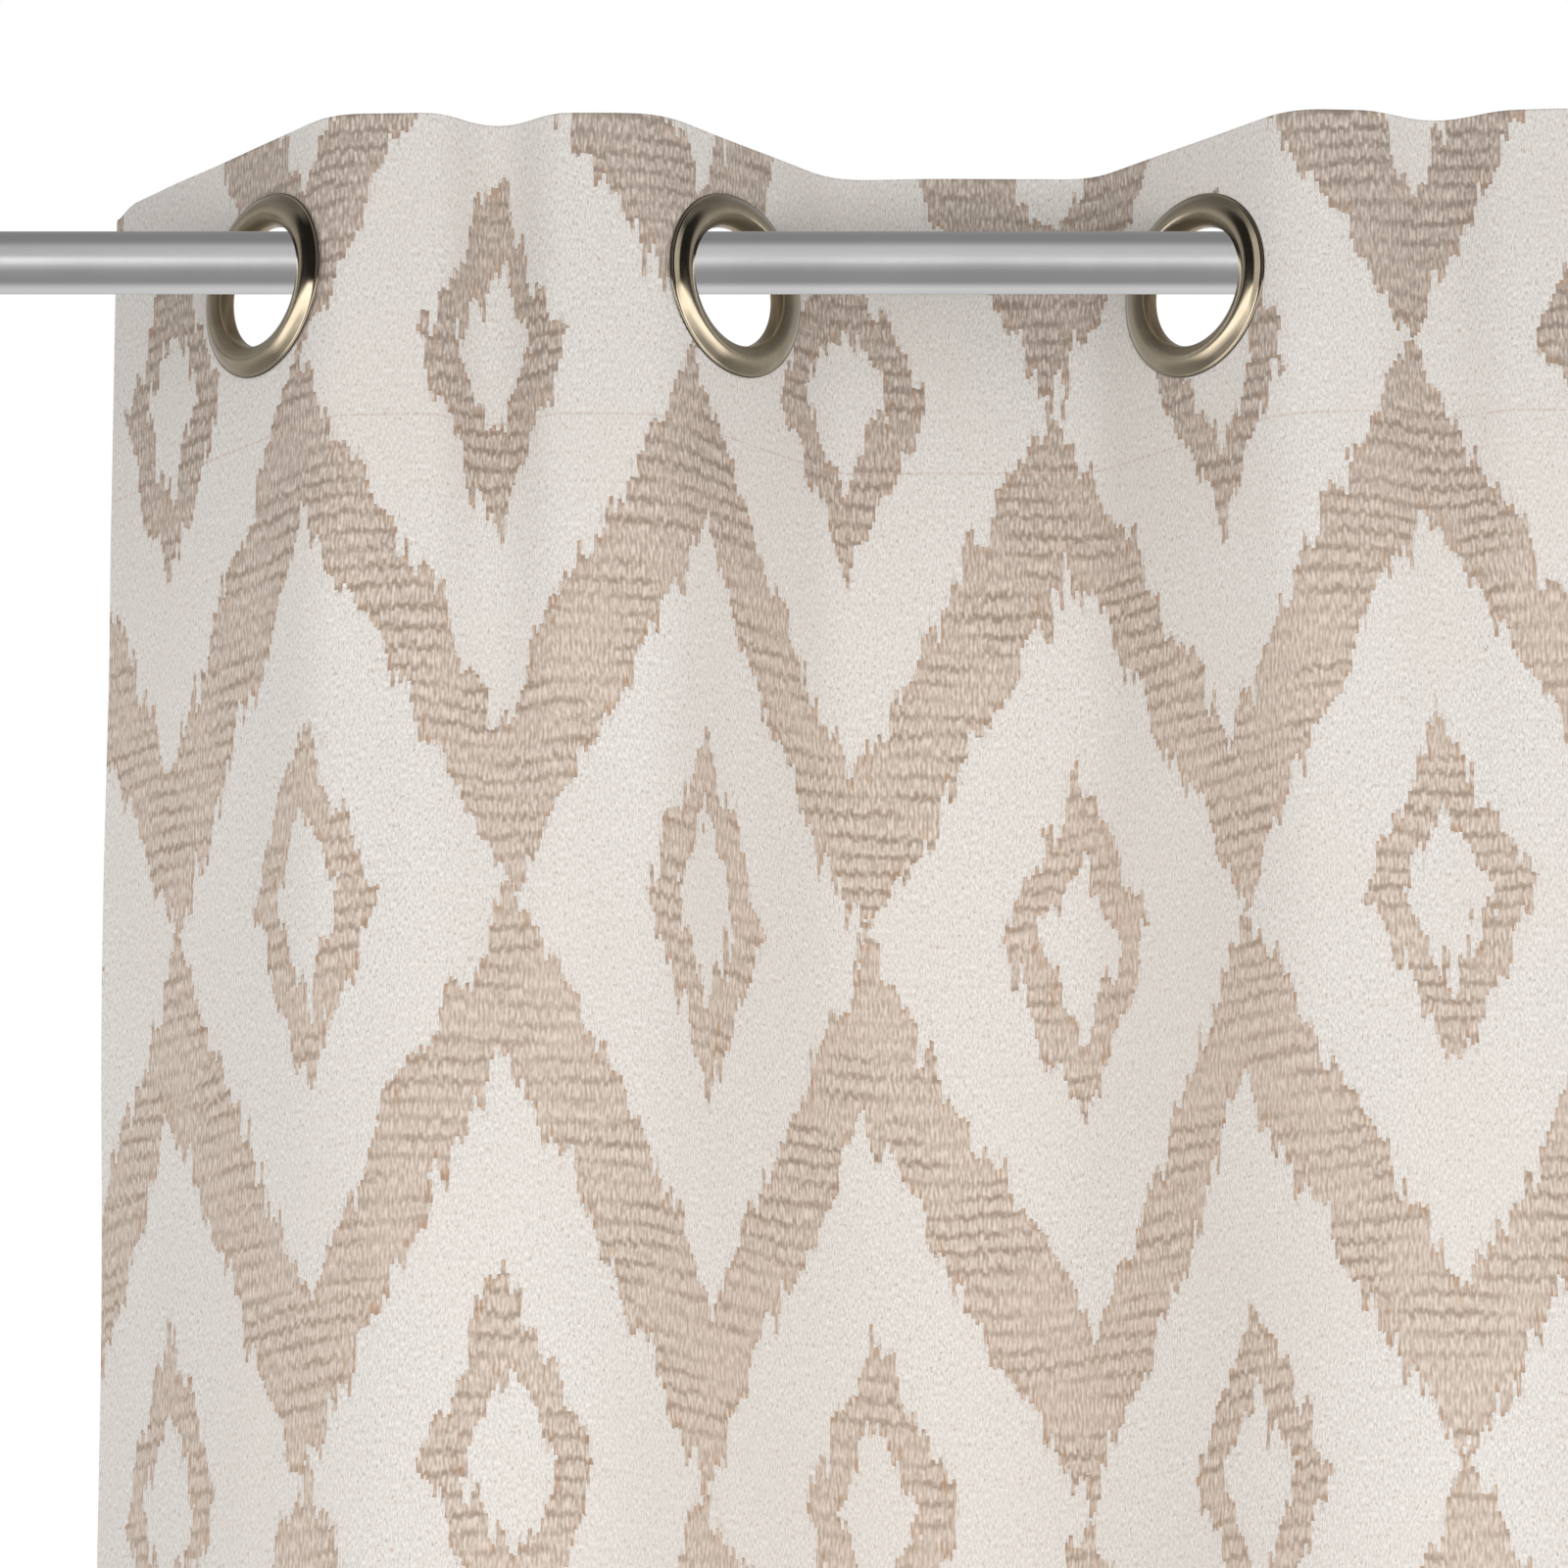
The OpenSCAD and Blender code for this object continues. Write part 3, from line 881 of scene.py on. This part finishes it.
def build_strip(name, cloth, columns, materials, with_hem=True):
    """A closed mesh of the cloth between two columns, with round holes for the eyelets."""
    u, along = cloth.u[columns], cloth.along
    normal = cloth.normal[:, columns]
    layer, flat_u, flat_v, kept = cut_holes(u, along, cloth.layer[:, columns])
    rows, cols = layer.shape[:2]
    push = 0
    if with_hem:
        push = cloth.hem_push()[:, columns] * ease((cloth.v[:, None] - 1.1 * TOP_HEM) / (10 * MM))
        push = push[..., None]
    outer = layer + normal * cloth.half
    inner = layer - normal * (cloth.half + push)

    grid = np.arange(rows * cols).reshape(rows, cols)
    quads = np.stack([grid[:-1, :-1], grid[1:, :-1], grid[1:, 1:], grid[:-1, 1:]], 2)[kept]
    under = quads[:, ::-1] + rows * cols
    walls = border_walls(quads, rows * cols)
    used = np.unique(np.concatenate([quads.ravel(), under.ravel()]))
    remap = np.full(2 * rows * cols, -1)
    remap[used] = np.arange(len(used))
    faces = remap[np.concatenate([quads, under, walls])]
    points = np.concatenate([outer.reshape(-1, 3), inner.reshape(-1, 3)])[used]
    normals = np.concatenate([normal.reshape(-1, 3), -normal.reshape(-1, 3)])[used]
    cloth_uv = np.stack([flat_u.ravel(), flat_v.ravel()], 1)
    cloth_uv = np.concatenate([cloth_uv, cloth_uv])[used]

    mesh = bpy.data.meshes.new(name)
    mesh.from_pydata(points.tolist(), [], faces.tolist())
    for material in materials:
        mesh.materials.append(material)
    slots = np.zeros(len(faces), np.int32)
    slots[len(quads) : 2 * len(quads)] = len(materials) - 1
    mesh.polygons.foreach_set("material_index", slots)
    mesh.polygons.foreach_set("use_smooth", np.ones(len(faces), bool))
    bake = bake_uv(faces, len(quads), used, along, u)
    mesh.uv_layers.new(name="OFBake").data.foreach_set("uv", bake.ravel())
    pattern = cloth_uv[faces].reshape(-1).astype(np.float32)
    mesh.uv_layers.new(name="Cloth").data.foreach_set("uv", pattern)
    mesh.normals_split_custom_set_from_vertices(normals.tolist())
    return place_object(name, mesh)


def place_object(name, mesh):
    piece = bpy.data.objects.new(name, mesh)
    bpy.context.collection.objects.link(piece)
    return piece


def border_walls(quads, shift):
    """Quads that join the two faces of a strip along every open edge."""
    starts = quads.ravel()
    ends = np.roll(quads, -1, axis=1).ravel()
    big = shift + 1
    forward, backward = starts * big + ends, ends * big + starts
    is_open = ~np.isin(forward, backward)
    a, b = starts[is_open], ends[is_open]
    return np.stack([b, a, a + shift, b + shift], 1)


BAKE_COLUMNS = 3  # each of the strip's two faces is laid out in this many columns of the bake map


def bake_uv(faces, count, used, along, u):
    """Each face corner's place in the bake map, where the strip lies in equal lengths side by side."""
    cols = len(u)
    grid = used % (len(along) * cols)
    row, col = grid // cols, grid % cols
    length = np.cumsum(np.abs(np.diff(along, prepend=along[0])))
    reach = (length / length[-1] * BAKE_COLUMNS)[row][faces]
    across = ((u - u[0]) / (u[-1] - u[0]))[col][faces]
    share = np.clip(np.floor(reach.mean(1)), 0, BAKE_COLUMNS - 1)
    is_inner = np.zeros(len(faces))
    is_inner[count : 2 * count] = 1
    column = share + is_inner * BAKE_COLUMNS
    x = (column[:, None] + 0.01 + 0.98 * across) / (2 * BAKE_COLUMNS)
    y = 0.005 + 0.99 * np.clip(reach - share[:, None], 0, 1)
    return np.stack([x, y], 2).astype(np.float32)


TAPE_LENGTH = 88 * MM
TAPE_TOP = 7 * MM
HALF_TAPE = 0.3 * MM
RIGID = 34 * MM  # how far the cloth beside an eyelet keeps to its panel's body


def strip_names(i):
    """The names of the cloth strip and the tape strip after eyelet i."""
    if i == 0:
        return "curtain_edge_left", "heading_tape_left"
    if i == EYELETS:
        return "curtain_edge_right", "heading_tape_right"
    return f"curtain_span_{i}", f"tape_span_{i}"


def hang_cloth():
    """The cloth and the tape inside its heading, cut at the eyelets into strips."""
    jacquard = [cloth_material("jacquard_face", True), cloth_material("jacquard_back", False)]
    cloth = Cloth(sheet_rows(), HALF_CLOTH)
    tape_v = np.linspace(TAPE_TOP, TAPE_TOP + TAPE_LENGTH, 24)
    tape_cloth = Cloth(np.array([(v, 0, v) for v in tape_v]), HALF_TAPE)
    tape_finish = tape_material()
    bounds = [0] + EYELET_U + [WIDTH]
    for i in range(EYELETS + 1):
        cloth_name, tape_name = strip_names(i)
        columns = strip_columns(cloth, bounds[i], bounds[i + 1])
        width = bounds[i + 1] - bounds[i]
        piece = build_strip(cloth_name, cloth, columns, jacquard)
        tape = build_strip(tape_name, tape_cloth, columns, [tape_finish], with_hem=False)
        # The rod's gloss shows the plain studio, as in the photograph
        piece.visible_glossy = tape.visible_glossy = False
        panels = sorted({max(i, 1), min(i + 1, EYELETS)})
        for panel in panels:
            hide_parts(f"cloth_panel_{panel}")
            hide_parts(f"heading_tape_{panel}")
        for strip in (piece, tape):
            follow_panels(strip, panels)


def follow_panels(strip, panels):
    """An edge strip rides on its panel. The others bend between two panels."""
    if len(panels) == 1:
        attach(strip, f"panel_{panels[0]}")
        return
    first, second = panels
    start = (EYELET_X[first - 1] + RIGID, ROD_Y, 0)
    end = (EYELET_X[second - 1] - RIGID, ROD_Y, 0)
    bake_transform(strip, f"panel_{first}", f"panel_{second}", start=start, end=end)


# ---------------------------------------------------------------- turned pieces


def arc(centre, radius, start, end, count):
    """Points on an arc in a lathe profile, with angles in degrees."""
    angles = np.radians(np.linspace(start, end, count))
    return [(centre[0] + radius * math.cos(a), centre[1] + radius * math.sin(a)) for a in angles]


ROUNDING_ROUNDS = 3


def smooth_profile(points):
    """A closed outline near a few (radius, height) points in mm, its corners cut again and again."""
    points = np.array(points, float)
    for _ in range(ROUNDING_ROUNDS):
        following = np.roll(points, -1, axis=0)
        cut = [points * 0.75 + following * 0.25, points * 0.25 + following * 0.75]
        points = np.stack(cut, 1).reshape(-1, 2)
    return [tuple(p) for p in points]


def lathe(name, profile, place, axis, steps=128, is_ring=True):
    """Turns a profile of (radius, height) in mm about an axis through a place.

    A ring's profile is closed. Another's two ends become flat faces."""
    profile = np.array(profile) * MM
    axis = Vector(axis).normalized()
    turn = axis.to_track_quat("Z", "Y").to_matrix()
    count = len(profile)
    verts, faces = [], []
    for step in range(steps):
        a = 2 * math.pi * step / steps
        for radius, height in profile:
            local = Vector((radius * math.cos(a), radius * math.sin(a), height))
            verts.append(Vector(place) + turn @ local)
    for step in range(steps):
        a, b = step * count, (step + 1) % steps * count
        for j in range(count if is_ring else count - 1):
            k = (j + 1) % count
            faces.append((a + j, b + j, b + k, a + k))
    if not is_ring:
        faces.append([step * count for step in range(steps)][::-1])
        faces.append([step * count + count - 1 for step in range(steps)])
    mesh = bpy.data.meshes.new(name)
    mesh.from_pydata(verts, [], faces)
    add_turn_map(mesh, profile / MM, steps, count)
    fix_normals(mesh)
    mesh.polygons.foreach_set("use_smooth", [True] * len(mesh.polygons))
    return place_object(name, mesh)


TURN_RADIUS = 25  # mm, at which the map's way round is measured


def add_turn_map(mesh, profile, steps, count):
    """A map named Turn: millimetres around the ring, and the radius."""
    turn = mesh.uv_layers.new(name="Turn")
    values = []
    for polygon in mesh.polygons:
        step_ids = [v // count for v in polygon.vertices]
        wraps = max(step_ids) - min(step_ids) > 1
        for v in polygon.vertices:
            step = v // count
            step = step + steps if wraps and step < steps / 2 else step
            radius = profile[v % count][0]
            values += [step / steps * 2 * math.pi * TURN_RADIUS, radius]
    turn.data.foreach_set("uv", values)


def fix_normals(mesh):
    work = bmesh.new()
    work.from_mesh(mesh)
    bmesh.ops.recalc_face_normals(work, faces=work.faces)
    work.to_mesh(mesh)
    work.free()


# (radius, height) in mm, where the eyelet's front is up
RING_PROFILE = [
    (30.0, 1.24), (30.15, 1.6), (29.8, 2.1), (29.2, 2.1), (28.6, 2.7), (27.2, 4.0), (25.2, 4.95),
    (23.4, 4.9), (21.9, 4.2), (21.0, 3.7), (20.3, 3.0), (19.75, 1.6), (19.55, 0.2), (19.5, -1.0),
    (19.6, -1.65), (20.0, -1.85), (20.6, -1.8), (20.7, -1.4), (20.7, 0.2), (20.7, 1.24), (24.0, 1.24),
]
WASHER_PROFILE = [
    (30.0, -1.24), (30.05, -1.7), (29.4, -2.1), (27.6, -3.2), (25.4, -3.8), (23.2, -3.5), (21.4, -2.5),
    (20.85, -1.9), (20.85, -1.24), (25.0, -1.24),
]


def make_eyelets():
    """Each eyelet's two halves on its panel. Gives back the front halves, which carry the cloth."""
    nickel = nickel_material()
    rings = []
    for i in range(1, EYELETS + 1):
        place = (EYELET_X[i - 1], ROD_Y, RING_Z)
        axis = RING_NORMAL[i - 1]
        for name, node, profile in (
            (f"eyelet_ring_{i}", f"eyelet_front_{i}", RING_PROFILE),
            (f"eyelet_washer_{i}", f"eyelet_back_{i}", WASHER_PROFILE),
        ):
            piece = lathe(name, smooth_profile(profile), place, axis)
            piece.data.materials.append(nickel)
            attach(piece, f"panel_{i}")
            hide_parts(node)
            piece.visible_glossy = False
            if profile is RING_PROFILE:
                rings.append(piece)
    return rings


# ---------------------------------------------------------------- the rod and its hardware


def make_rod(finish):
    """The tube, with softened ends, from its CAD node's box."""
    low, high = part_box("rod")
    half_length = (high[0] - low[0]) / 2 / MM
    outer = (high[2] - low[2]) / 2 / MM
    inner, edge = outer - 1, 0.3
    profile = [
        (outer, half_length - edge), (outer - edge, half_length), (inner + edge, half_length),
        (inner, half_length - edge), (inner, edge - half_length), (inner + edge, -half_length),
        (outer - edge, -half_length), (outer, edge - half_length),
    ]
    centre = ((low + high) / 2)[:]
    rod = lathe("curtain_rod", profile, centre, (1, 0, 0), steps=160)
    rod.data.set_sharp_from_angle(angle=math.radians(35))
    finish_piece(rod, finish, "rod")


# The end cap, in mm
SPIGOT_R, NECK_R = 8.9, 11
NECK = 4  # its length
COVE = 1.2  # the radius between neck and body
TIP_R = 2.4
DOME = 0.75  # the height of the end's crown


def make_finial(side, finish):
    """A turned end cap: spigot, cove at the neck, body with three fine grooves and a domed end."""
    node = f"finial_{side}"
    low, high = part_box(node)
    way = -1 if side == "left" else 1
    rod_low, rod_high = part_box("rod")
    tube_end = rod_high[0] if way > 0 else rod_low[0]
    outer = (high[2] - low[2]) / 2 / MM
    length = (high[0] - tube_end if way > 0 else tube_end - low[0]) / MM
    spigot = (tube_end - low[0] if way > 0 else high[0] - tube_end) / MM
    points = [(SPIGOT_R - 0.7, -spigot), (SPIGOT_R, 0.7 - spigot), (SPIGOT_R, 0)]
    points += [(NECK_R - 0.4, 0), (NECK_R, 0.4)]
    points += arc((NECK_R + COVE, NECK - COVE), COVE, 180, 90, 7)
    points += [(outer - 0.5, NECK), (outer, NECK + 0.5)]
    for place in (NECK + 3, length - 10, length - 7.6):
        points += [(outer, place - 0.6), (outer - 0.55, place - 0.35), (outer - 0.55, place + 0.35)]
        points += [(outer, place + 0.6)]
    points += arc((outer - TIP_R, length - TIP_R - 0.5), TIP_R, 0, 62, 7)
    points += [(outer * (1 - t), length - DOME + DOME * t * (2 - t)) for t in (0.3, 0.5, 0.75, 0.92)]
    place = (tube_end, (low[1] + high[1]) / 2, (low[2] + high[2]) / 2)
    piece = lathe(f"end_cap_{side}", points, place, (way, 0, 0), is_ring=False)
    piece.data.set_sharp_from_angle(angle=math.radians(38))
    finish_piece(piece, finish, node)


def soften(name, node_name, width):
    """A copy of a CAD node's shape with its sharp edges rounded."""
    node = frame["nodes"][node_name]
    mesh = bpy.data.meshes.new(name)
    work = bmesh.new()
    work.from_mesh(node.data)
    bmesh.ops.remove_doubles(work, verts=work.verts, dist=0.003 * MM)
    bmesh.ops.dissolve_limit(work, angle_limit=math.radians(1), verts=work.verts, edges=work.edges)
    sharp = [
        edge for edge in work.edges
        if len(edge.link_faces) == 2 and edge.calc_face_angle() > math.radians(32)
    ]
    bmesh.ops.bevel(
        work, geom=sharp, offset=width, segments=2, profile=0.5, affect="EDGES", clamp_overlap=True
    )
    bmesh.ops.remove_doubles(work, verts=work.verts, dist=0.02 * MM)
    bmesh.ops.dissolve_degenerate(work, edges=work.edges, dist=0.01 * MM)
    bmesh.ops.recalc_face_normals(work, faces=work.faces)
    work.to_mesh(mesh)
    work.free()
    is_curved = [len(polygon.vertices) <= 4 for polygon in mesh.polygons]
    mesh.polygons.foreach_set("use_smooth", is_curved)
    mesh.set_sharp_from_angle(angle=math.radians(40))
    return place_object(name, mesh)


def finish_piece(piece, finish, node_name):
    """Gives a piece its material, and puts it in the place of its CAD node."""
    piece.data.materials.clear()
    piece.data.materials.append(finish)
    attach(piece, body_of(frame["nodes"][node_name])[0])
    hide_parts(node_name)


# Each steel's darker and lighter grey, its roughness and the way its fine lines run
STEELS = {
    "rod_steel": ((0.60, 0.60, 0.605), (0.64, 0.64, 0.64), 0.22, "x"),
    "finial_steel": ((0.58, 0.58, 0.585), (0.65, 0.65, 0.65), 0.2, "z"),
    "bracket_steel": ((0.54, 0.54, 0.545), (0.62, 0.62, 0.62), 0.3, "z"),
    "screw_steel": ((0.50, 0.50, 0.505), (0.60, 0.60, 0.60), 0.25, "z"),
}
PART_ROUNDING = {"plate": 0.5, "arm": 0.5, "cradle": 0.4}  # mm
SCREW_ROUNDING = 0.15


def make_hardware():
    """The rod, its end caps, the two brackets and their thumb screws."""
    steel = {name: brushed_material(name, *look) for name, look in STEELS.items()}
    make_rod(steel["rod_steel"])
    for side in ("left", "right"):
        make_finial(side, steel["finial_steel"])
        for part, width in PART_ROUNDING.items():
            node = f"bracket_{part}_{side}"
            piece = soften(f"wall_{part}_{side}", node, width * MM)
            finish_piece(piece, steel["bracket_steel"], node)
        node = f"thumb_screw_{side}"
        piece = soften(f"grub_screw_{side}", node, SCREW_ROUNDING * MM)
        finish_piece(piece, steel["screw_steel"], node)


def make_lights():
    """A key light and a weaker fill, both on the room's side and seen by matt surfaces only."""
    x = EYELET_X[0] + AIM_RIGHT
    target = (x, ROD_Y, -0.5)
    area_light("key", (x - 0.1, -3.0, -1.7), target, size=(2.4, 1.6), power=34)
    area_light("fill", (x + 1.5, -2.6, -1.2), target, size=(1.6, 2.0), power=9)


def main():
    bpy.context.scene.view_settings.view_transform = "Standard"
    make_camera()
    make_world()
    make_lights()
    make_floor()
    rings = make_eyelets()
    hang_cloth()
    make_hardware()


main()
